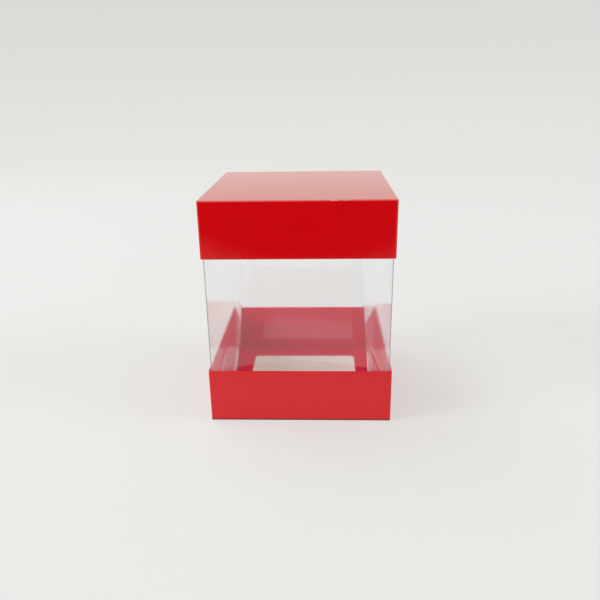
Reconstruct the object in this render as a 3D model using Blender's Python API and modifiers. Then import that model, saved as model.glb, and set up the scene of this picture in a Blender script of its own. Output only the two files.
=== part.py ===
"""A small clear gift box: a glossy red card tray and a lift-off card lid, joined by a square sleeve of clear film.

Units are metres and +Z is up. The origin is the centre of the tray's underside, and the front faces -Y.
The tray stands on the table, the sleeve drops into it, and the lid drops over the top of the sleeve.
"""

import math

import bmesh
import bpy
import numpy as np

# Driving sizes of the card tray and lid
box_side = 0.100  # outer width and depth of tray and lid
box_height = 0.1236  # table to lid top when the box is closed
tray_wall_height = 0.0302
lid_wall_height = 0.0302
card_ply = 0.00045  # panels are one ply, walls are folded over to two
corner_radius = 0.0010  # upright folds between two walls
fold_radius = 0.0005  # folds between the panel and the walls
rim_radius = 0.0004  # the fold where a wall turns over into its inner ply
inner_fold_radius = 0.0003  # creases inside the tray
window_side = 0.067  # square opening cut in the tray's floor
window_corner_radius = 0.003

# Driving sizes of the film sleeve
film_thickness = 0.0003
film_clearance = 0.0003  # from the film to the card around it, above it and below it
seam_width = 0.007  # the glued lap, inside the back panel at the left corner
seam_step = 0.0003  # the distance over which the lap's edge drops to one layer
panel_spans = 32  # straight steps across each panel
sleeve_rows = 12  # steps up the sleeve

# How the panels of the sleeve bow inwards. The front and the back one are arched. A side panel leans in from
# its front crease and from its back crease, and the two parts meet in one soft bend. The leans are slopes at
# the sleeve's foot, its mid height and its head.
front_bow, back_bow = 0.0062, 0.0008
arch_power = 1.5  # above 1 the bow leaves the creases tangentially, as a stiff crease makes it
right_front_lean, left_front_lean = (0.41, 0.147, 0.029), (0.198, 0.158, 0.026)
right_back_lean, left_back_lean = (0.115, 0.255, 0.52), (0.088, 0.268, 0.256)
right_curl, left_curl = 2.8, 2.0  # how much the front part's lean grows, per metre from the front crease
bend_width = 0.0015  # how softly the two parts of a side panel meet

# Sizes that follow from them
wall_thickness = 2 * card_ply
sleeve_side = box_side - 2 * (wall_thickness + film_clearance)
sleeve_foot = card_ply + film_clearance
sleeve_head = box_height - card_ply - film_clearance
cut_margin = 0.002  # how far a cutter runs past the card


def clear_scene():
    """Remove every object that the scene holds."""
    for old in list(bpy.data.objects):
        bpy.data.objects.remove(old, do_unlink=True)


def new_collection(name):
    collection = bpy.data.collections.new(name)
    bpy.context.scene.collection.children.link(collection)
    return collection


def new_material(name, colour, roughness, transmission=0.0, alpha=1.0):
    """A Principled material with the finish of one piece."""
    material = bpy.data.materials.new(name)
    material.use_nodes = True
    shader = material.node_tree.nodes["Principled BSDF"]
    shader.inputs["Base Color"].default_value = (*colour, 1.0)
    shader.inputs["Roughness"].default_value = roughness
    shader.inputs["Metallic"].default_value = 0.0
    shader.inputs["Transmission Weight"].default_value = transmission
    shader.inputs["Alpha"].default_value = alpha
    return material


def new_object(name, shape, collection, material=None):
    """Put a bmesh into the scene as one named object."""
    mesh = bpy.data.meshes.new(name)
    shape.to_mesh(mesh)
    shape.free()
    piece = bpy.data.objects.new(name, mesh)
    collection.objects.link(piece)
    if material:
        mesh.materials.append(material)
    return piece


def block(width, depth, low, high):
    """A box centred on the Z axis between two heights."""
    shape = bmesh.new()
    bmesh.ops.create_cube(shape, size=1.0)
    bmesh.ops.scale(shape, vec=(width, depth, high - low), verts=shape.verts)
    bmesh.ops.translate(shape, vec=(0, 0, (low + high) / 2), verts=shape.verts)
    return shape


def round_by_weight(piece, shape_edges, widest, segments):
    """Round the weighted edges: an edge of weight 1 gets the widest radius."""
    fold = piece.modifiers.new("folds", "BEVEL")
    fold.limit_method = "WEIGHT"
    fold.width = widest
    fold.segments = segments
    fold.use_clamp_overlap = True
    weights = piece.data.attributes.new("bevel_weight_edge", "FLOAT", "EDGE")
    weights.data.foreach_set("value", shape_edges)


def card_tray(name, wall_height, collection, material):
    """An open tray of folded card with its panel on z = 0 and its rim at wall_height.

    The block is inset by the wall's thickness at the rim, and the inset face is pushed down to the panel's
    upper side, so the panel is one ply and the walls are two.
    """
    shape = block(box_side, box_side, 0.0, wall_height)
    rim_face = [face for face in shape.faces if face.normal.z > 0.9]
    bmesh.ops.inset_region(shape, faces=rim_face, thickness=wall_thickness, use_even_offset=True)
    pushed = bmesh.ops.extrude_face_region(shape, geom=rim_face)
    floor = [item for item in pushed["geom"] if isinstance(item, bmesh.types.BMVert)]
    bmesh.ops.translate(shape, vec=(0, 0, card_ply - wall_height), verts=floor)
    bmesh.ops.delete(shape, geom=[face for face in rim_face if face.is_valid], context="FACES_ONLY")
    bmesh.ops.recalc_face_normals(shape, faces=shape.faces)
    shape.edges.ensure_lookup_table()
    radii = [fold_radius_of(edge, wall_height) for edge in shape.edges]
    widest = max(radii)
    piece = new_object(name, shape, collection, material)
    round_by_weight(piece, [radius / widest for radius in radii], widest, segments=3)
    return piece


def fold_radius_of(edge, wall_height):
    """The fold's radius at an edge of the tray, told from where the edge lies."""
    first, second = (vert.co for vert in edge.verts)
    reach = max(abs(first.x), abs(first.y), abs(second.x), abs(second.y))
    outside = reach > box_side / 2 - wall_thickness / 2
    upright = abs(first.z - second.z) > wall_height / 2
    at_rim = min(first.z, second.z) > wall_height / 2
    if at_rim:
        joins_the_loops = (first - second).length < 2 * wall_thickness
        return 0.0 if joins_the_loops else rim_radius
    if upright:
        return corner_radius if outside else inner_fold_radius
    return fold_radius if outside else inner_fold_radius


def cut(piece, cutter):
    """Take the cutter out of the piece."""
    cutter.hide_render = True
    cutter.display_type = "WIRE"
    opening = piece.modifiers.new(cutter.name, "BOOLEAN")
    opening.operation = "DIFFERENCE"
    opening.solver = "EXACT"
    opening.object = cutter


def floor_window(collection):
    """The cutter for the square window in the tray's floor, with rounded corners."""
    shape = block(window_side, window_side, -cut_margin, card_ply + cut_margin)
    upright = [edge for edge in shape.edges if abs(edge.verts[0].co.z - edge.verts[1].co.z) > card_ply]
    bmesh.ops.bevel(
        shape, geom=upright, offset=window_corner_radius, segments=6, profile=0.5, affect="EDGES"
    )
    return new_object("floor_window_cutter", shape, collection)


def up_the_panel(rise, foot, middle, head):
    """A value at a share of the sleeve's height: the parabola through its foot, middle and head values."""
    return foot * (1 - rise) * (1 - 2 * rise) + middle * 4 * rise * (1 - rise) + head * rise * (2 * rise - 1)


def arched(step, bow):
    """How far an arched panel lies inwards: its bow times a power of the sine across the panel."""
    return bow * abs(math.sin(math.pi * step)) ** arch_power


def bent(from_front, rise, front_lean, back_lean, curl):
    """How far a side panel lies inwards at a distance from its front crease: the lesser of its two parts.

    The front part also curls, with the square of the distance. Where the parts meet, half of (a + c - the
    root of (a - c) squared plus the bend's width squared) rounds the lesser of a and c. The width fades to
    nothing at the creases, as the smooth step 3 s squared minus 2 s cubed does.
    """
    from_back = sleeve_side - from_front
    front = (up_the_panel(rise, *front_lean) + curl * from_front) * from_front
    back = up_the_panel(rise, *back_lean) * from_back
    share = min(1.0, 4 * min(from_front, from_back) / sleeve_side)
    rounding = bend_width * share * share * (3 - 2 * share)
    return (front + back - math.hypot(front - back, rounding)) / 2


def inward_shift(side, step, rise):
    """How far the film lies inside the straight panel, on side 0 to 3 from the front counterclockwise."""
    if side == 1:
        return bent(step * sleeve_side, rise, right_front_lean, right_back_lean, right_curl)
    if side == 3:
        return bent((1 - step) * sleeve_side, rise, left_front_lean, left_back_lean, left_curl)
    return arched(step, front_bow if side == 0 else back_bow)


def panel_steps(seam_at_end, seam_at_start):
    """Shares of a panel's width at which the sleeve has a column of points, with a pair at the lap's edge."""
    steps = list(np.linspace(0, 1, panel_spans + 1)[:-1])
    if seam_at_end:
        steps += [1 - seam_width / sleeve_side, 1 - (seam_width + seam_step) / sleeve_side]
    if seam_at_start:
        steps.append(seam_step / sleeve_side)
    return sorted(steps)


def film_sleeve(collection, material):
    """A square tube of film whose four panels bow inwards between sharp creases.

    Each panel is a straight run between two creases, moved inwards. The surface is the film's outer face, and
    Solidify gives it its thickness, doubled at the lap.
    """
    half = sleeve_side / 2
    creases = [(-half, -half), (half, -half), (half, half), (-half, half)]
    inwards = np.array([(0, 1), (-1, 0), (0, -1), (1, 0)])
    back, left = 2, 3
    columns = []
    for side in range(4):
        start, end = np.array(creases[side]), np.array(creases[(side + 1) % 4])
        for step in panel_steps(seam_at_end=side == back, seam_at_start=side == left):
            lapped = side == back and step > 1 - (seam_width + seam_step / 2) / sleeve_side
            lapped = lapped or (side == left and step == 0)
            columns.append((start + (end - start) * step, side, step, lapped))
    shape = bmesh.new()
    rows = []
    for row in range(sleeve_rows + 1):
        rise = row / sleeve_rows
        height = sleeve_foot + (sleeve_head - sleeve_foot) * rise
        places = [base + inwards[side] * inward_shift(side, step, rise) for base, side, step, _ in columns]
        rows.append([shape.verts.new((place[0], place[1], height)) for place in places])
    count = len(columns)
    for lower, upper in zip(rows, rows[1:]):
        for i in range(count):
            after = (i + 1) % count
            shape.faces.new((lower[i], lower[after], upper[after], upper[i]))
    sleeve = new_object("clear_sleeve", shape, collection, material)
    lap = sleeve.vertex_groups.new(name="glued_lap")
    lapped = [row * count + i for row in range(sleeve_rows + 1) for i in range(count) if columns[i][3]]
    lap.add(lapped, 1.0, "REPLACE")
    wall = sleeve.modifiers.new("film", "SOLIDIFY")
    wall.thickness = 2 * film_thickness
    wall.offset = -1
    wall.use_even_offset = True
    wall.vertex_group = lap.name
    wall.thickness_vertex_group = 0.5
    return sleeve


def build():
    clear_scene()
    parts = new_collection("clear_gift_box")
    cutters = new_collection("cutters")
    red_card = new_material("glossy_red_card", (0.60, 0.008, 0.014), roughness=0.22)
    clear_film = new_material("clear_film", (0.97, 0.98, 0.98), roughness=0.03, transmission=1.0, alpha=0.3)

    tray = card_tray("base_tray", tray_wall_height, parts, red_card)
    cut(tray, floor_window(cutters))

    sleeve = film_sleeve(parts, clear_film)
    sleeve.parent = tray

    lid = card_tray("lid", lid_wall_height, parts, red_card)
    lid.location = (0, 0, box_height)
    lid.rotation_euler = (math.pi, 0, 0)
    lid.parent = sleeve


build()
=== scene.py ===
import math

import bpy
import numpy as np
from mathutils import Matrix, Vector


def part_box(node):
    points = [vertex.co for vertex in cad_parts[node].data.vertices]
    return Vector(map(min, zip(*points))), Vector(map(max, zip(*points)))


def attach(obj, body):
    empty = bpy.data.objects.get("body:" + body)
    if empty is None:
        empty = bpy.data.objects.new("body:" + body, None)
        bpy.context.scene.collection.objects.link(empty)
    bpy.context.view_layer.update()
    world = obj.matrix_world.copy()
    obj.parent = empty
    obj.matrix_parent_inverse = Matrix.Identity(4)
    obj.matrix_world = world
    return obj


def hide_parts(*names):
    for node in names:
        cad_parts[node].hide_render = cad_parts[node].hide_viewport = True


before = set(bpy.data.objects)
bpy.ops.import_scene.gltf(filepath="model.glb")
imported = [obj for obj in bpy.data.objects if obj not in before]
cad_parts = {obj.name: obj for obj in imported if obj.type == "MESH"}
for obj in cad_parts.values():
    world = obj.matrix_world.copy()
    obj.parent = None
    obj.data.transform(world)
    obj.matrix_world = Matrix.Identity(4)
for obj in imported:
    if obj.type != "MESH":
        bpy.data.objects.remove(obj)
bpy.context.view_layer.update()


# The base tray. It is one blank of red card, glossy on both faces, with its walls folded up and turned over
# to two plies, so the rim is a soft fold. A square window is cut in the floor, and its cut edge shows the
# card's pale core. Its inside is a lighter, pinker red as painted light, and a dark red along its foot is
# painted shade.

tray_low, tray_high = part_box("base_tray")
card_ply = 0.00045
glued_ply = 1.02 * card_ply  # the outer ply with its film of glue
corner_radius = 0.0010  # upright folds
fold_radius = 0.0005  # folds between floor and walls
inner_radius = 0.0003  # the inner plies meet almost squarely
window_half = 0.0335
window_corner = 0.003
ply_gap = 0.00008  # the inner ply stops this far above the floor
wall_steps, floor_steps = 24, 16
sharp_angle = 40  # in degrees: the shading bends smoothly over flatter edges
hair = 0.00001  # less than any size of the card


def crowded(steps):
    """Shares from 0 to 1 that crowd towards both ends as a cosine does."""
    return 0.5 - 0.5 * np.cos(np.linspace(0, math.pi, steps + 1))


def square_ring(side_spans, arc_spans):
    """The columns of a rounded square, counterclockwise from the front left corner.

    Each column has an anchor on the square of half width 1 and an outward normal. A point of the square
    with half width h and corner radius r is (h - r) times the anchor plus r times the normal. The columns
    of a side crowd towards its corners as a cosine does, and those of an arc turn the normal evenly.
    """
    corners = np.array([(-1, -1), (1, -1), (1, 1), (-1, 1)], float)
    share = crowded(side_spans)
    turn = np.linspace(0, math.pi / 2, arc_spans + 1)[1:-1]
    anchors, normals, shares = [], [], []
    for side in range(4):
        start, end = corners[side], corners[(side + 1) % 4]
        facing = -math.pi / 2 + side * math.pi / 2
        anchors += [start + (end - start) * share[:, None], np.tile(end, (len(turn), 1))]
        angles = np.concatenate([np.full(len(share), facing), facing + turn])
        normals.append(np.stack([np.cos(angles), np.sin(angles)], 1))
        shares += [share, np.ones(len(turn))]
    return np.vstack(anchors), np.vstack(normals), np.concatenate(shares)


def bend(half, height, radius, start, end, steps=5):
    """Profile points on an arc: centre (half, height) plus radius times the cosine and sine of the angle."""
    angle = np.radians(np.linspace(start, end, steps + 1))
    return np.stack([half + radius * np.cos(angle), height + radius * np.sin(angle)], 1)


def run(start, end, steps):
    """Profile points on a straight line, crowded towards its two ends and without them."""
    share = crowded(steps)[1:-1, None]
    return np.array(start) * (1 - share) + np.array(end) * share


def sweep(profile, radii, ring):
    """Carry a profile round the ring: row by row, each point is the rounded square of that half width."""
    anchors, normals, _ = ring
    flat = (profile[:, :1] - radii[:, None])[:, :, None] * anchors + radii[:, None, None] * normals
    height = np.broadcast_to(profile[:, 1][:, None, None], flat.shape[:2] + (1,))
    return np.concatenate([flat, height], 2)


def skin(name, grid, poles=False, attributes=(), finishes=None):
    """A closed surface from a grid of points whose columns close into a ring.

    The rows close too, unless the first and the last row are poles, which become one point each with a fan
    of triangles. Each attribute is a name and one number for each grid point, and finishes gives the material
    of each row of faces.
    """
    rows, columns = grid.shape[:2]
    index = np.arange(rows * columns).reshape(rows, columns)
    after = np.roll(index, -1, 1)
    if poles:
        quads = np.stack([index[1:-2], after[1:-2], after[2:-1], index[2:-1]], -1).reshape(-1, 4)
        first, last = np.full(columns, index[0, 0]), np.full(columns, index[-1, 0])
        opening = np.stack([index[1], after[1], first], 1)
        closing = np.stack([index[-2], after[-2], last], 1)
        fans = np.vstack([opening, closing])
    else:
        quads = np.stack([index, after, np.roll(after, -1, 0), np.roll(index, -1, 0)], -1).reshape(-1, 4)
        fans = np.empty((0, 3), int)
    sizes = np.repeat([4, 3], [len(quads), len(fans)])
    used, compact = np.unique(np.concatenate([quads.ravel(), fans.ravel()]), return_inverse=True)
    faces = [face.tolist() for face in np.split(compact, np.cumsum(sizes)[:-1])]
    mesh = bpy.data.meshes.new(name)
    mesh.from_pydata(grid.reshape(-1, 3)[used].tolist(), [], faces)
    for title, values in attributes:
        layer = mesh.attributes.new(title, "FLOAT", "POINT")
        layer.data.foreach_set("value", values.reshape(-1)[used].astype(np.float32))
    if finishes is not None:
        mesh.polygons.foreach_set("material_index", np.repeat(finishes, columns).astype(np.int32))
    mesh.shade_smooth()
    mesh.set_sharp_from_angle(angle=math.radians(sharp_angle))
    piece = bpy.data.objects.new(name, mesh)
    bpy.context.scene.collection.objects.link(piece)
    return piece


def near(distance, reach):
    """1 on a line and fading away from it: e to the minus squared share of the reach."""
    return np.exp(-((distance / reach) ** 2))


def feed(slot, given):
    """Link another node's socket into a slot, or set the slot to a number or a colour."""
    if isinstance(given, bpy.types.NodeSocket):
        slot.id_data.links.new(given, slot)
    else:
        slot.default_value = (*given, 1) if isinstance(given, tuple) else given


def math_node(nodes, operation, first, second=None, clamp=False):
    """A Math node of one operation on numbers or sockets."""
    node = nodes.new("ShaderNodeMath")
    node.operation, node.use_clamp = operation, clamp
    feed(node.inputs[0], first)
    if second is not None:
        feed(node.inputs[1], second)
    return node.outputs["Value"]


def noise(nodes, place, scale, detail):
    """A noise from about 0.2 to 0.8 with that many cells in a metre."""
    node = nodes.new("ShaderNodeTexNoise")
    feed(node.inputs["Vector"], place)
    feed(node.inputs["Scale"], scale)
    feed(node.inputs["Detail"], detail)
    return node.outputs["Fac"]


def ramp(nodes, value, start, end, least=0.0, most=1.0, soft=False):
    """A value that goes from least to most as another goes from start to end, in a line or a smooth step."""
    node = nodes.new("ShaderNodeMapRange")
    node.interpolation_type = "SMOOTHSTEP" if soft else "LINEAR"
    feed(node.inputs["Value"], value)
    for title, given in (("From Min", start), ("From Max", end), ("To Min", least), ("To Max", most)):
        feed(node.inputs[title], given)
    return node.outputs["Result"]


def mixed(nodes, share, first, second):
    """The first colour where the share is 0 and the second where it is 1."""
    node = nodes.new("ShaderNodeMix")
    node.data_type = "RGBA"
    feed(node.inputs["Factor"], share)
    feed(node.inputs["A"], first)
    feed(node.inputs["B"], second)
    return node.outputs["Result"]


def mark(nodes, name):
    """The mesh attribute of that name."""
    node = nodes.new("ShaderNodeAttribute")
    node.attribute_name = name
    return node.outputs["Fac"]


def bump(nodes, height, strength, distance):
    """The normal that a height between 0 and 1 gives when it stands for that distance."""
    node = nodes.new("ShaderNodeBump")
    feed(node.inputs["Strength"], strength)
    feed(node.inputs["Distance"], distance)
    feed(node.inputs["Height"], height)
    return node.outputs["Normal"]


def object_place(nodes):
    """The place in the object's own coordinates, which are metres from the tray's middle."""
    return nodes.new("ShaderNodeTexCoord").outputs["Object"]


def new_material(name):
    """A material, its nodes and the sockets of its shader."""
    material = bpy.data.materials.new(name)
    material.use_nodes = True
    nodes = material.node_tree.nodes
    return material, nodes, nodes["Principled BSDF"].inputs


def new_group(name, inputs, outputs):
    """A node group with sockets of those names, its nodes, what it is given and what it makes."""
    group = bpy.data.node_groups.new(name, "ShaderNodeTree")
    for title in inputs:
        kind = "NodeSocketVector" if title == "Vector" else "NodeSocketFloat"
        group.interface.new_socket(name=title, in_out="INPUT", socket_type=kind)
    for title in outputs:
        group.interface.new_socket(name=title, in_out="OUTPUT", socket_type="NodeSocketFloat")
    nodes = group.nodes
    return group, nodes, nodes.new("NodeGroupInput").outputs, nodes.new("NodeGroupOutput").inputs


def use_group(nodes, group, **given):
    """Put a group into a material and feed it, and give what it makes."""
    node = nodes.new("ShaderNodeGroup")
    node.node_tree = group
    for title, value in given.items():
        feed(node.inputs[title], value)
    return node.outputs


def card_grain():
    """Node group: the faint mottle, orange peel and soft waves of laminated card, in Object coordinates."""
    group, nodes, given, made = new_group(
        "card_grain", ("Vector", "Roughness"), ("Mottle", "Roughness", "Height")
    )
    smear = noise(nodes, given["Vector"], scale=22, detail=2)
    spread = ramp(nodes, smear, 0, 1, least=0.75, most=1.35)
    feed(made["Mottle"], noise(nodes, given["Vector"], scale=60, detail=3))
    feed(made["Roughness"], math_node(nodes, "MULTIPLY", given["Roughness"], spread))
    feed(made["Height"], noise(nodes, given["Vector"], scale=1400, detail=2))
    return group


def fold_wear():
    """Node group: flecks of pale core along the folds, where the fold and scuff marks beat the noise."""
    group, nodes, given, made = new_group("fold_wear", ("Vector", "Wear"), ("Worn",))
    flecks = noise(nodes, given["Vector"], scale=900, detail=3)
    rubbed = math_node(nodes, "MULTIPLY", mark(nodes, "fold"), given["Wear"])
    beaten = math_node(nodes, "ADD", rubbed, mark(nodes, "scuff"))
    feed(made["Worn"], ramp(nodes, math_node(nodes, "ADD", beaten, flecks), 0.95, 1.05))
    return group


grain_group = card_grain()
wear_group = fold_wear()
core_colour = (0.80, 0.74, 0.66)
core_shade = 0.85  # the darker fibres
# painted highlight: a lighter red for the crown of a fold
crown_highlight_red = (0.95, 0.16, 0.15)
painted_foot_shade = (0.20, 0.002, 0.005)  # painted shade: the dark red of the foot's fold, which lies in its own shadow on the table
crown_power = 4.0  # how narrow the painted highlight on the crown of a fold is


def red_card(name, colour, dark, roughness, wear, coat, crown_highlight=0.0):
    """Glossy laminated card: mottled red, worn to its pale core on the folds, under a thin clear coat.

    The crown highlight is the share of a lighter red painted on the crown of a fold as a highlight. A dark
    red is painted along the foot's fold as shade, where the foot mark says.
    """
    material, nodes, shader = new_material(name)
    place = object_place(nodes)
    grain = use_group(nodes, grain_group, Vector=place, Roughness=roughness)
    worn = use_group(nodes, wear_group, Vector=place, Wear=wear)
    crown = math_node(nodes, "POWER", mark(nodes, "fold"), crown_power)
    red = mixed(nodes, grain["Mottle"], dark, colour)
    # painted highlight: a lighter red on the crown of each fold
    red = mixed(nodes, math_node(nodes, "MULTIPLY", crown, crown_highlight), red, crown_highlight_red)
    # painted shade: a dark red along the tray's foot, where it meets the table
    red = mixed(nodes, mark(nodes, "foot"), red, painted_foot_shade)
    feed(shader["Base Color"], mixed(nodes, worn["Worn"], red, core_colour))
    feed(shader["Roughness"], grain["Roughness"])
    feed(shader["Normal"], bump(nodes, grain["Height"], strength=0.03, distance=0.00005))
    feed(shader["IOR"], 1.5)
    feed(shader["Coat Weight"], coat)
    feed(shader["Coat Roughness"], 0.04)
    return material


def card_core():
    """The pale fibrous core that shows where the card is cut."""
    material, nodes, shader = new_material("card_core")
    fibre = noise(nodes, object_place(nodes), scale=2500, detail=2)
    feed(shader["Base Color"], mixed(nodes, fibre, tuple(core_shade * c for c in core_colour), core_colour))
    feed(shader["Roughness"], 0.85)
    return material


def wall_profile(half, rim, base):
    """The turned-over wall from its foot on the outside, over the rim and down to the inner ply's cut edge.

    base is the height of the panel's outer side and rim the height of the wall's rim, above or below it. The
    outer fold and the rim are arcs, and the inner ply stops a hair short of the panel's inner side.
    """
    up = 1 if rim > base else -1
    foot = bend(half - fold_radius, base + up * fold_radius, fold_radius, -90 * up, 0)
    turn = bend(half - card_ply, rim - up * card_ply, card_ply, 0, 180 * up, steps=8)
    panel_inside = base + up * card_ply
    inner_foot = (half - 2 * card_ply, panel_inside + up * ply_gap)
    outer = run(foot[-1], turn[0], wall_steps)
    inner = run(turn[-1], inner_foot, wall_steps)
    groove = [(half - glued_ply, panel_inside + up * ply_gap), (half - glued_ply, panel_inside)]
    return np.vstack([foot, outer, turn, inner, [inner_foot], groove])


def tray_profile():
    """The closed section of the tray: under the floor, round the wall, back over the floor, down the cut."""
    half, top, bottom = tray_high.x, tray_high.z, tray_low.z
    wall = wall_profile(half, top, bottom)
    under = run((window_half, bottom), wall[0], floor_steps)
    floor = run(wall[-1], (window_half, bottom + card_ply), floor_steps)
    return np.vstack([[(window_half, bottom)], under, wall, floor, [(window_half, bottom + card_ply)]])


def corner_radii(profile, half, opening, opening_radius):
    """The corner radius for each profile point.

    It falls from the outer fold's radius at the wall's outside to the inner one a wall further in, and then
    goes over to the opening's radius as the panel reaches the opening.
    """
    wall = np.clip((half - profile[:, 0]) / (2 * card_ply), 0, 1)
    panel = np.clip((half - 2 * card_ply - profile[:, 0]) / (half - 2 * card_ply - opening), 0, 1)
    return (corner_radius + (inner_radius - corner_radius) * wall) * (1 - panel) + opening_radius * panel


fold_reach, upright_reach, foot_shade_reach = 0.0009, 0.0013, 0.0008


def fold_closeness(grid, fold_height, half, upright_share):
    """How near each point is to the fold at fold_height, from 1 on it to 0 away from it.

    An upright fold counts as much as upright_share says.
    """
    x, y, z = np.abs(grid[..., 0]), np.abs(grid[..., 1]), grid[..., 2]
    along = near(np.hypot(half - np.maximum(x, y), z - fold_height), fold_reach)
    upright = near(np.hypot(half - x, half - y), upright_reach)
    return np.maximum(along, upright_share * upright)


card_ring = square_ring(side_spans=56, arc_spans=8)
tray_section = tray_profile()
tray_radii = corner_radii(tray_section, tray_high.x, window_half, window_corner)
tray_grid = sweep(tray_section, tray_radii, card_ring)
tray_folds = fold_closeness(tray_grid, tray_high.z, tray_high.x, upright_share=1.0)
outermost = np.maximum(np.abs(tray_grid[..., 0]), np.abs(tray_grid[..., 1])) > tray_high.x - card_ply
# painted shade: where the dark line along the tray's outer foot is painted
foot_shade_mask = near(tray_grid[..., 2] - tray_low.z, foot_shade_reach) * outermost
tray_marks = (("fold", tray_folds), ("scuff", tray_folds * 0), ("foot", foot_shade_mask))
band_middle = (tray_section + np.roll(tray_section, -1, 0)) / 2
at_cut = band_middle[:, 0] < window_half + hair
inside = (band_middle[:, 0] < tray_high.x - card_ply) & (band_middle[:, 1] > card_ply / 2)
outside_finish, lit_lining_finish, core_finish = 0, 1, 2
tray_finishes = np.where(at_cut, core_finish, np.where(inside, lit_lining_finish, outside_finish))
tray_red, tray_dark_red = (0.62, 0.004, 0.009), (0.58, 0.003, 0.008)
# painted light: the lining is a lighter, pinker copy of the outer red, so the shaded inside reads brighter
lit_lining_red, lit_lining_dark_red = (0.75, 0.006, 0.055), (0.71, 0.004, 0.050)

base_tray = skin("tray_card", tray_grid, attributes=tray_marks, finishes=tray_finishes)
for finish in (
    red_card("red_tray_card", tray_red, tray_dark_red, roughness=0.16, wear=0.22, coat=0.0),
    red_card("red_tray_lining_painted_lit", lit_lining_red, lit_lining_dark_red, roughness=0.16, wear=0.22, coat=0.0),
    card_core(),
):
    base_tray.data.materials.append(finish)
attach(base_tray, "base")
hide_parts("base_tray")


# The clear sleeve. It is one sheet of film, creased at four corners and closed by a glued lap inside the
# back panel, and it stands in the tray by its own light spring. Its panels bow inwards, so the side panels
# are seen at a grazing angle and mirror what is round them.

sleeve_low, sleeve_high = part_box("clear_sleeve")
film = 0.0003
crease_radius = 0.00035
front_bow, back_bow = 0.0062, 0.0008
arch_power = 1.5
bend_width = 0.0015  # how softly the front and the back part of a side panel meet
right_front_lean, left_front_lean = (0.41, 0.147, 0.029), (0.198, 0.158, 0.026)  # foot, mid height, head
right_back_lean, left_back_lean = (0.115, 0.255, 0.52), (0.088, 0.268, 0.256)
right_curl, left_curl = 2.8, 2.0  # how much the front part's lean grows, per metre from the front crease
# Distance from the front crease at a level, that level, distance gained per height, depth and half width
right_buckle = (0.0140, 0.0248, 1.64, -0.00045, 0.0013)
left_buckle = (0.0139, 0.0240, 0.78, 0.00050, 0.0016)
buckle_top, buckle_fade = 0.034, 0.006
lap_width = 0.007
crease_reach = 0.0005
rub_height, rub_fade = 0.002, 0.006  # above the tray's rim
film_rows, row_crowding = 80, 1.4  # above 1 the rows are closer at the foot


def smooth(share):
    """The smooth step 3 s squared minus 2 s cubed, between 0 and 1."""
    share = np.clip(share, 0, 1)
    return share * share * (3 - 2 * share)


def up_the_panel(rise, foot, middle, head):
    """The parabola up the sleeve through its values at the foot, at mid height and at the head."""
    return foot * (1 - rise) * (1 - 2 * rise) + middle * 4 * rise * (1 - rise) + head * rise * (2 * rise - 1)


def arched(share, bow):
    """A panel that bows: its bow times the sine of the share of its width, to the arch's power."""
    return bow * np.sin(np.pi * np.clip(share, 0, 1)) ** arch_power


def bent(from_front, width, rise, front_lean, back_lean, curl):
    """A panel with one soft bend: the lesser of two parts that lean in from the front and the back crease.

    The front part also curls, with the square of the distance from its crease. Where the parts meet, half
    of (a + c - the root of (a - c) squared plus the bend's width squared) rounds the lesser of a and c.
    """
    front = (up_the_panel(rise, *front_lean) + curl * from_front) * from_front
    back = up_the_panel(rise, *back_lean) * (width - from_front)
    corner = bend_width * smooth(4 * np.minimum(from_front, width - from_front) / width)
    return (front + back - np.sqrt((front - back) ** 2 + corner**2)) / 2


def buckled(from_front, height, start, level, gain, depth, reach):
    """A slanted furrow: its depth times e to the minus squared share of its reach, fading out at both ends.

    A negative depth lies outwards.
    """
    off = (from_front - start - gain * (height - level)) / math.hypot(1, gain)
    ends = smooth(from_front / start) * smooth((buckle_top - height) / buckle_fade)
    return depth * near(off, reach) * ends


def film_grid(columns_ring, rise, inset):
    """Points of the film's face at each share of the height, inset from the outer face along its normal.

    A panel is the rounded square's side, moved inwards: the front and the back one are arched, and each
    side one is bent once and has one buckle. The normal is the horizontal one, from the difference between
    neighbouring columns.
    """
    anchors, normals, shares = columns_ring
    half = sleeve_high.x
    width = 2 * half
    side = np.repeat(np.arange(4), len(shares) // 4)
    up = rise[:, None]
    height = sleeve_low.z + (sleeve_high.z - sleeve_low.z) * up
    from_right, from_left = shares * width, (1 - shares) * width  # distances from a side panel's front crease
    right = bent(from_right, width, up, right_front_lean, right_back_lean, right_curl)
    left = bent(from_left, width, up, left_front_lean, left_back_lean, left_curl)
    inwards = np.select(
        [side == 0, side == 1, side == 2],
        [
            arched(shares, front_bow) + 0 * up,
            right + buckled(from_right, height, *right_buckle),
            arched(shares, back_bow) + 0 * up,
        ],
        left + buckled(from_left, height, *left_buckle),
    )
    flat = (half - crease_radius) * anchors + crease_radius * normals
    points = flat[None] - normals[None] * inwards[..., None]
    along = np.roll(points, -1, 1) - np.roll(points, 1, 1)
    outward = np.stack([along[..., 1], -along[..., 0]], -1)
    outward /= np.linalg.norm(outward, axis=-1, keepdims=True)
    points = points - outward * inset[..., None]
    return np.concatenate([points, np.broadcast_to(height[..., None], points.shape[:2] + (1,))], 2)


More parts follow.
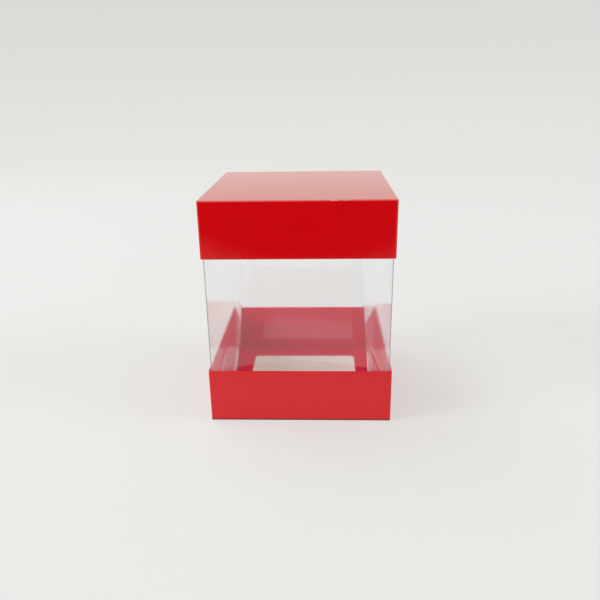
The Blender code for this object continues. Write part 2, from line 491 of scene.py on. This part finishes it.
film_ring = square_ring(side_spans=104, arc_spans=6)
rise = np.linspace(0, 1, film_rows + 1) ** row_crowding
on_back = np.repeat(np.arange(4), len(film_ring[2]) // 4) == 2
lapped = on_back & (film_ring[2] > 1 - lap_width / (2 * sleeve_high.x))
thickness = np.where(lapped, 2 * film, film)
outer_face, inner_face = (film_grid(film_ring, rise, inset) for inset in (0 * thickness, thickness))
sleeve_grid = np.concatenate([outer_face, inner_face[::-1]])
off_corner = np.hypot(*(sleeve_high.x - np.abs(sleeve_grid[..., axis]) for axis in (0, 1)))
front_crease_shade = near(off_corner, crease_reach) * (sleeve_grid[..., 1] <= 0)
in_tray = smooth((tray_high.z + rub_height - sleeve_grid[..., 2]) / rub_fade)
sleeve_marks = (("crease", front_crease_shade), ("rubbed", on_back * in_tray))
sleeve = skin("film_sleeve", sleeve_grid, attributes=sleeve_marks)

# painted shade: the grey tint along the front creases stands for the dark line a folded film shows
film_tint, crease_shade_tint, black = (0.985, 0.99, 0.99), (0.25, 0.26, 0.27), (0.0, 0.0, 0.0)
film_index = 1.57  # of refraction
dust_glow_share = 0.0052  # of the painted glow for the dust where the film is seen squarely
dust_glow_colour = (0.46, 0.47, 0.52)
least_cosine = 0.15  # the painted dust glow grows no stronger than it is at this one
rubbed_roughness = 0.08  # more, where the back panel rubs against the tray's wall
ripple_foot, ripple_top = 0.015, 0.045  # the ripples fade out between these heights
ripple_depth = 0.0006
ripple_stretch = (1, 1, 0.15)  # fewer ripples along the height than across it
film_shade = 0.06  # how solid the film is to lamp light and bounce light


def film_dust():
    """Node group: an uneven layer of dust with a few specks, the cloud it makes in the gloss, and ripples.

    The ripples are noise drawn out along the height, strong at the foot, where the tray pinches the film.
    """
    group, nodes, given, made = new_group("film_dust", ("Vector",), ("Haze", "Roughness", "Height"))
    drawn, apart = nodes.new("ShaderNodeMapping"), nodes.new("ShaderNodeSeparateXYZ")
    drawn.inputs["Scale"].default_value = ripple_stretch
    feed(drawn.inputs["Vector"], given["Vector"])
    feed(apart.inputs["Vector"], given["Vector"])
    ripple = noise(nodes, drawn.outputs["Vector"], scale=110, detail=1)
    fading = ramp(nodes, apart.outputs["Z"], ripple_foot, ripple_top, least=1.0, most=0.04, soft=True)
    cloud = noise(nodes, given["Vector"], scale=35, detail=3)
    grain = noise(nodes, given["Vector"], scale=1500, detail=3)
    spread = ramp(nodes, cloud, 0.3, 0.7, least=0.7, most=1.3)
    specks = ramp(nodes, grain, 0.72, 0.78, least=0.0, most=3.0)
    feed(made["Haze"], math_node(nodes, "ADD", spread, specks))
    feed(made["Roughness"], ramp(nodes, cloud, 0.3, 0.7, least=0.04, most=0.065))
    feed(made["Height"], math_node(nodes, "MULTIPLY", ripple, fading))
    return group


def clear_film():
    """Clear glossy film: glass for sight, nearly open for lamp and bounce light, with painted shade along its
    front creases.

    The dust is painted as an even glow, which stands for the light it scatters and for a pale sheen. Its
    share grows as one over the squared cosine of the angle of sight, so it only shows on the panels seen
    edgewise.
    """
    material, nodes, shader = new_material("clear_film")
    dust = use_group(nodes, film_dust(), Vector=object_place(nodes))
    matt = math_node(nodes, "MULTIPLY", mark(nodes, "rubbed"), rubbed_roughness)
    sight = nodes.new("ShaderNodeLayerWeight")
    feed(sight.inputs["Blend"], 0.5)
    cosine = math_node(nodes, "SUBTRACT", 1.0, sight.outputs["Facing"])
    cosine = math_node(nodes, "MAXIMUM", cosine, least_cosine)
    squared = math_node(nodes, "MULTIPLY", cosine, cosine)
    thin = math_node(nodes, "MULTIPLY", dust["Haze"], dust_glow_share)
    veil = math_node(nodes, "DIVIDE", thin, squared, clamp=True)
    crease_shaded_tint = mixed(nodes, mark(nodes, "crease"), film_tint, crease_shade_tint)
    ray = nodes.new("ShaderNodeLightPath")
    unseen = math_node(nodes, "MAXIMUM", ray.outputs["Is Shadow Ray"], ray.outputs["Is Diffuse Ray"])
    feed(shader["Base Color"], mixed(nodes, veil, crease_shaded_tint, black))
    # painted light: the dust's scatter and the panels' sheen as an even glow
    feed(shader["Emission Color"], mixed(nodes, veil, black, dust_glow_colour))
    feed(shader["Emission Strength"], 1.0)
    feed(shader["Roughness"], math_node(nodes, "ADD", dust["Roughness"], matt))
    feed(shader["Normal"], bump(nodes, dust["Height"], strength=1.0, distance=ripple_depth))
    feed(shader["Alpha"], ramp(nodes, unseen, 0, 1, least=1.0, most=film_shade))
    feed(shader["Transmission Weight"], 1.0)
    feed(shader["IOR"], film_index)
    return material


sleeve.data.materials.append(clear_film())
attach(sleeve, "sleeve")
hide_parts("clear_sleeve")


# The lid. It is folded from a blank of the same red card as the tray, without a window, and drops over the
# top of the sleeve. Its folds are rubbed, and the print is scuffed off the front one in one place. A lighter
# red is painted on the crowns of its folds as a highlight.

lid_low, lid_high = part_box("lid")
ceiling_steps, cover_steps = 24, 32
scuff_centre, scuff_reach, scuff_width, scuff_weight = 0.0205, 0.006, 0.00035, 0.40
lid_red, lid_dark_red = (0.585, 0.0015, 0.004), (0.55, 0.001, 0.003)


def lid_profile():
    """The section of the lid from the middle of its inside, down round the wall and back over its top."""
    half, top, bottom = lid_high.x, lid_high.z, lid_low.z
    wall = wall_profile(half, bottom, top)[::-1]
    ceiling = run((0, top - card_ply), wall[0], ceiling_steps)
    cover = run(wall[-1], (0, top), cover_steps)
    return np.vstack([[(0, top - card_ply)], ceiling, wall, cover, [(0, top)]])


lid_section = lid_profile()
lid_radii = np.minimum(corner_radii(lid_section, lid_high.x, 0, 0), np.abs(lid_section[:, 0]))
lid_grid = sweep(lid_section, lid_radii, card_ring)
lid_folds = fold_closeness(lid_grid, lid_high.z, lid_high.x, upright_share=0.3)
off_front_fold = np.hypot(lid_high.x + lid_grid[..., 1], lid_high.z - lid_grid[..., 2])
along_fold = lid_grid[..., 0] - scuff_centre
lid_scuff = scuff_weight * near(off_front_fold, scuff_width) * near(along_fold, scuff_reach)
lid_marks = (("fold", lid_folds), ("scuff", lid_scuff), ("foot", lid_folds * 0))
lid = skin("lid_card", lid_grid, poles=True, attributes=lid_marks)
lid.data.materials.append(
    red_card("red_lid_card", lid_red, lid_dark_red, roughness=0.07, wear=0.26, coat=0.3, crown_highlight=0.6)
)
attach(lid, "lid")
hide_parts("lid")


# The table, the light and the camera. A plain pale table runs out into a backdrop of the same tone, with
# painted light and shade on it under the box. The light is even from all round, with a soft lamp low on each
# side and a weak one behind. A dark sheet that only mirrors see lies in front of the box as a painted
# reflection of the dark room there, and thins to a veil of painted shade nearer the box.

table_half = 4.0
footprint = 0.05  # half the box's width: under it the table has painted light and shade instead of its glow
fade_start, fade_end = 0.6, 1.8  # the table fades into the backdrop between these distances
paper_colour = (0.808, 0.800, 0.770)
glow_share = 0.62  # of the table's tone
lit_tint = (0.98, 1.01, 1.04)  # of the part of the tone that the lamps light
painted_under_left, painted_under_right = (0.81, 0.83, 0.72), (0.97, 1.0, 0.94)  # painted light: the table's tone under the window, lighter to the right
# painted shade: the dark tone at the front of the window, in the shadow of the tray's front wall
painted_under_front_shade = (0.26, 0.25, 0.23)
front_shade = (-0.8 * window_half, 0.1 * window_half)  # where the painted shade at the front goes over to the other tones
# painted light: a faint glow of the table under the window
painted_under_glow = (0.0, 0.02, 0.01)
flag_edge, flag_middle, flag_slope, flag_margin, flag_fade = -0.362, -0.005, 0.75, 0.022, 0.16
flag_half, flag_front, flag_back, flag_height = 0.7, -1.2, -0.105, 0.001
# painted shade: how solid the dark sheet's veil is between its edge and the box
painted_shade_cover = 0.30


def flat_card(name, half, front, back, height):
    """One flat rectangle that faces up."""
    mesh = bpy.data.meshes.new(name)
    corners = [(-half, front, height), (half, front, height), (half, back, height), (-half, back, height)]
    mesh.from_pydata(corners, [], [(0, 1, 2, 3)])
    piece = bpy.data.objects.new(name, mesh)
    bpy.context.scene.collection.objects.link(piece)
    return piece


def table_paper():
    """Pale matt paper with a part of its tone as an even glow, which fades out far from the box.

    It glows where the greater of the distances along X and Y is past the box's footprint. Under the box it
    has
    painted light and shade instead: a tone that gets lighter from left to right and goes over into a painted
    shadow at the front, with a faint painted glow.
    """
    material, nodes, shader = new_material("table_paper")
    place, apart = object_place(nodes), nodes.new("ShaderNodeSeparateXYZ")
    feed(apart.inputs["Vector"], place)
    x, y = apart.outputs["X"], apart.outputs["Y"]
    off_x, off_y = math_node(nodes, "ABSOLUTE", x), math_node(nodes, "ABSOLUTE", y)
    reach = math_node(nodes, "MAXIMUM", off_x, off_y)
    outside = math_node(nodes, "GREATER_THAN", reach, footprint)
    across = ramp(nodes, x, -window_half, window_half, soft=True)
    from_front = ramp(nodes, y, *front_shade, soft=True)
    under = mixed(nodes, from_front, painted_under_front_shade, mixed(nodes, across, painted_under_left, painted_under_right))
    lit = tuple((1 - glow_share) * c * tint for c, tint in zip(paper_colour, lit_tint))
    glow = tuple(glow_share * c for c in paper_colour)
    away = nodes.new("ShaderNodeVectorMath")
    away.operation = "LENGTH"
    feed(away.inputs[0], place)
    fade = ramp(nodes, away.outputs["Value"], fade_start, fade_end, least=1.0, most=0.0, soft=True)
    feed(shader["Base Color"], mixed(nodes, outside, under, lit))
    feed(shader["Emission Color"], mixed(nodes, outside, painted_under_glow, glow))
    feed(shader["Emission Strength"], 1.0)
    feed(shader["Roughness"], 0.9)
    feed(shader["Specular IOR Level"], 0.1)
    feed(shader["Alpha"], fade)
    return material


def painted_dark_room():
    """A black sheet that paints the dark room into what mirrors see, thinning out at its edges.

    In front of flag_edge it is solid where the distance from its middle line is less than flag_slope times
    the distance from flag_edge plus a margin, and thins out over flag_fade. Behind flag_edge it is a veil of
    painted shade.
    """
    material, nodes, shader = new_material("painted_dark_room")
    apart = nodes.new("ShaderNodeSeparateXYZ")
    feed(apart.inputs["Vector"], object_place(nodes))
    off_middle = math_node(nodes, "ABSOLUTE", math_node(nodes, "SUBTRACT", apart.outputs["X"], flag_middle))
    past_edge = math_node(nodes, "SUBTRACT", flag_edge, apart.outputs["Y"])
    solid_half = math_node(nodes, "ADD", math_node(nodes, "MULTIPLY", past_edge, flag_slope), flag_margin)
    beyond = math_node(nodes, "SUBTRACT", off_middle, solid_half)
    cover = ramp(nodes, beyond, 0, flag_fade, least=1.0, most=0.0, soft=True)
    in_front = math_node(nodes, "GREATER_THAN", past_edge, 0.0)
    solid = math_node(nodes, "MULTIPLY", cover, in_front)
    feed(shader["Base Color"], (0.01, 0.01, 0.01))
    feed(shader["Specular IOR Level"], 0.0)
    feed(shader["Alpha"], math_node(nodes, "MAXIMUM", solid, painted_shade_cover))
    return material


table = flat_card("table", table_half, -table_half, table_half, 0)
table.data.materials.append(table_paper())
flag = flat_card("dark_flag", flag_half, flag_front, flag_back, flag_height)
flag.data.materials.append(painted_dark_room())
flag.visible_camera = flag.visible_diffuse = flag.visible_shadow = flag.visible_transmission = False

world = bpy.data.worlds.new("studio")
bpy.context.scene.world = world
world.use_nodes = True
world_nodes = world.node_tree.nodes
direction, facing = world_nodes.new("ShaderNodeTexCoord"), world_nodes.new("ShaderNodeSeparateXYZ")
feed(facing.inputs["Vector"], direction.outputs["Generated"])


def sky(colour, low, low_strength, high, high_strength):
    """Even light whose strength goes from one value to another between two heights of its direction."""
    light = world_nodes.new("ShaderNodeBackground")
    feed(light.inputs["Color"], colour)
    strength = ramp(world_nodes, facing.outputs["Z"], low, high, least=low_strength, most=high_strength)
    feed(light.inputs["Strength"], strength)
    return light.outputs["Background"]


def choose(chance, first, second):
    """One light where the chance is 0 and the other where it is 1."""
    node = world_nodes.new("ShaderNodeMixShader")
    for slot, given in zip(node.inputs, (chance, first, second)):
        feed(slot, given)
    return node.outputs["Shader"]


ray = world_nodes.new("ShaderNodeLightPath")
seen = math_node(world_nodes, "MAXIMUM", ray.outputs["Is Camera Ray"], ray.outputs["Is Transmission Ray"])
fill = sky((1.0, 1.0, 0.99), low=0.40, low_strength=1.22, high=0.75, high_strength=0.10)
backdrop = sky((1.005, 1.0, 0.968), low=-0.19, low_strength=0.82, high=0.105, high_strength=0.70)
mirrored = sky((1.0, 1.0, 0.93), low=0.10, low_strength=0.96, high=0.25, high_strength=0.69)
light = choose(ray.outputs["Is Glossy Ray"], choose(seen, fill, backdrop), mirrored)
feed(world_nodes["World Output"].inputs["Surface"], light)


def lamp(name, watts, place, side):
    """A square lamp of that side, aimed from its place at the box."""
    data = bpy.data.lights.new(name, "AREA")
    data.energy, data.size = watts, side
    made = bpy.data.objects.new(name, data)
    made.location = place
    made.rotation_euler = Vector(place).to_track_quat("Z", "Y").to_euler()
    made.visible_glossy = False
    bpy.context.scene.collection.objects.link(made)


lamp("left_lamp", watts=23, place=(-1.78, -0.62, 1.02), side=0.8)
lamp("right_lamp", watts=15, place=(1.86, -0.25, 1.00), side=0.8)
lamp("back_lamp", watts=10, place=(-0.70, 0.60, 1.70), side=1.0)

camera_place = (0.01304, -0.34676, 0.17927)
camera_heading, camera_dip, camera_roll = 2.36, 19.94, -0.95  # in degrees
camera_data = bpy.data.cameras.new("camera")
camera_data.sensor_width, camera_data.lens = 36, 36.47  # in millimetres
camera = bpy.data.objects.new("camera", camera_data)
bpy.context.scene.collection.objects.link(camera)
camera.matrix_world = (
    Matrix.Translation(camera_place)
    @ Matrix.Rotation(math.radians(camera_heading), 4, "Z")
    @ Matrix.Rotation(math.radians(90 - camera_dip), 4, "X")
    @ Matrix.Rotation(math.radians(camera_roll), 4, "Z")
)
bpy.context.scene.camera = camera
bpy.context.scene.view_settings.view_transform = "Standard"
